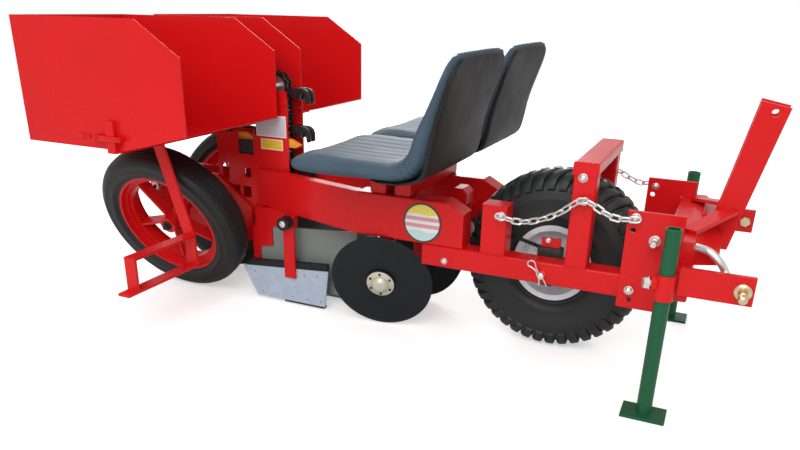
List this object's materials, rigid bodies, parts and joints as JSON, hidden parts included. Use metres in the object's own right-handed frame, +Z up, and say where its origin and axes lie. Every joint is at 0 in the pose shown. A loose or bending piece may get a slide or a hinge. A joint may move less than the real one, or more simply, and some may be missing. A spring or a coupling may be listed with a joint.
{
  "type": "bare root transplanter",
  "caption": "Hitch-mounted transplanter with rear-facing seats, seedling trays, planting chain, opener discs, leaning packing wheels, gauge wheel and parking stands.",
  "frame": {"origin": "on the floor, on the centreline, halfway along the machine", "axes": "+X forward towards the tractor, +Y to the machine's left, +Z up"},
  "size_m": [2.1099, 1.3, 0.918],
  "materials": {
    "red_paint": "gloss paint",
    "tyre_rubber": "matt rubber",
    "silver_paint": "satin silver",
    "zinc_plate": "zinc plated",
    "black_rubber": "satin",
    "grey_paint": "satin",
    "galvanised_steel": "galvanised",
    "disc_black": "satin",
    "seat_vinyl": "satin vinyl",
    "green_paint": "gloss paint"
  },
  "bodies": {
    "frame": {"rail_right": "red_paint", "rail_left": "red_paint", "chain_posts": "red_paint", "hoop_legs": "red_paint", "hoop_top": "red_paint", "gauge_axle_plates": "red_paint", "gauge_axle": "silver_paint", "jackshaft": "zinc_plate", "drive_chain": "disc_black", "beam_right": "red_paint", "beam_left": "red_paint", "beam_cross": "red_paint", "planter_side_right": "red_paint", "planter_side_left": "red_paint", "planting_chain": "black_rubber", "planting_sprockets": "zinc_plate", "shoe_brackets": "red_paint", "shoe_walls": "grey_paint", "shoe_skirts": "galvanised_steel", "shoe_skids": "black_rubber", "shoe_keel": "galvanised_steel", "shoe_hangers": "red_paint", "shoe_knobs": "black_rubber", "disc_arms": "red_paint", "packing_arm_right": "red_paint", "packing_arm_left": "red_paint", "rear_bush": "zinc_plate", "tray_right": "red_paint", "tray_left": "red_paint", "tray_supports": "red_paint", "footrest_right": "red_paint", "footrest_left": "red_paint", "seat_bars": "red_paint", "seat_shell_right": "black_rubber", "seat_shell_left": "black_rubber", "seat_cushion_right": "seat_vinyl", "seat_cushion_left": "seat_vinyl", "head_pivots": "zinc_plate", "lift_chain_right": "zinc_plate", "lift_chain_left": "zinc_plate"},
    "gauge_wheel": {"gauge_tyre": "tyre_rubber", "gauge_rim": "silver_paint"},
    "packing_wheel_right": {"packing_tyre_right": "tyre_rubber", "packing_rim_right": "red_paint"},
    "packing_wheel_left": {"packing_tyre_left": "tyre_rubber", "packing_rim_left": "red_paint"},
    "opener_disc_right": {"opener_disc_right": "disc_black"},
    "opener_disc_left": {"opener_disc_left": "disc_black"},
    "headstock": {"head_plate_right": "red_paint", "head_plate_left": "red_paint", "lower_tube": "red_paint", "upper_box": "red_paint", "hitch_arm_right": "red_paint", "hitch_arm_left": "red_paint", "hitch_pins": "zinc_plate", "mast": "red_paint", "mast_braces": "red_paint", "stand_sleeves": "red_paint"},
    "parking_stand_right": {"stand_right": "green_paint"},
    "parking_stand_left": {"stand_left": "green_paint"}
  },
  "joints": [
    {"name": "gauge_wheel_spin", "type": "hinge", "parent": "frame", "child": "gauge_wheel", "pos_m": [0.514, 0, 0.27], "axis": [0, 1, 0], "continuous": true},
    {"name": "packing_wheel_right_spin", "type": "hinge", "parent": "frame", "child": "packing_wheel_right", "pos_m": [-0.7825, -0.187, 0.26407], "axis": [0.0162, -0.9303, -0.3665], "continuous": true},
    {"name": "packing_wheel_left_spin", "type": "hinge", "parent": "frame", "child": "packing_wheel_left", "pos_m": [-0.7825, 0.187, 0.26407], "axis": [0.0162, 0.9303, -0.3665], "continuous": true},
    {"name": "opener_disc_right_spin", "type": "hinge", "parent": "frame", "child": "opener_disc_right", "pos_m": [0.012, -0.18, 0.163], "axis": [0.1913, -0.9486, -0.2521], "continuous": true},
    {"name": "opener_disc_left_spin", "type": "hinge", "parent": "frame", "child": "opener_disc_left", "pos_m": [0.012, 0.18, 0.163], "axis": [0.1913, 0.9486, -0.2521], "continuous": true},
    {"name": "headstock_float", "type": "hinge", "parent": "frame", "child": "headstock", "pos_m": [0.755, 0, 0.284], "axis": [0, -1, 0], "range_deg": [0, 8]},
    {"name": "parking_stand_right_slide", "type": "slide", "parent": "headstock", "child": "parking_stand_right", "axis": [0, 0, 1], "range_m": [0, 0.29]},
    {"name": "parking_stand_left_slide", "type": "slide", "parent": "headstock", "child": "parking_stand_left", "axis": [0, 0, 1], "range_m": [0, 0.29]}
  ]
}
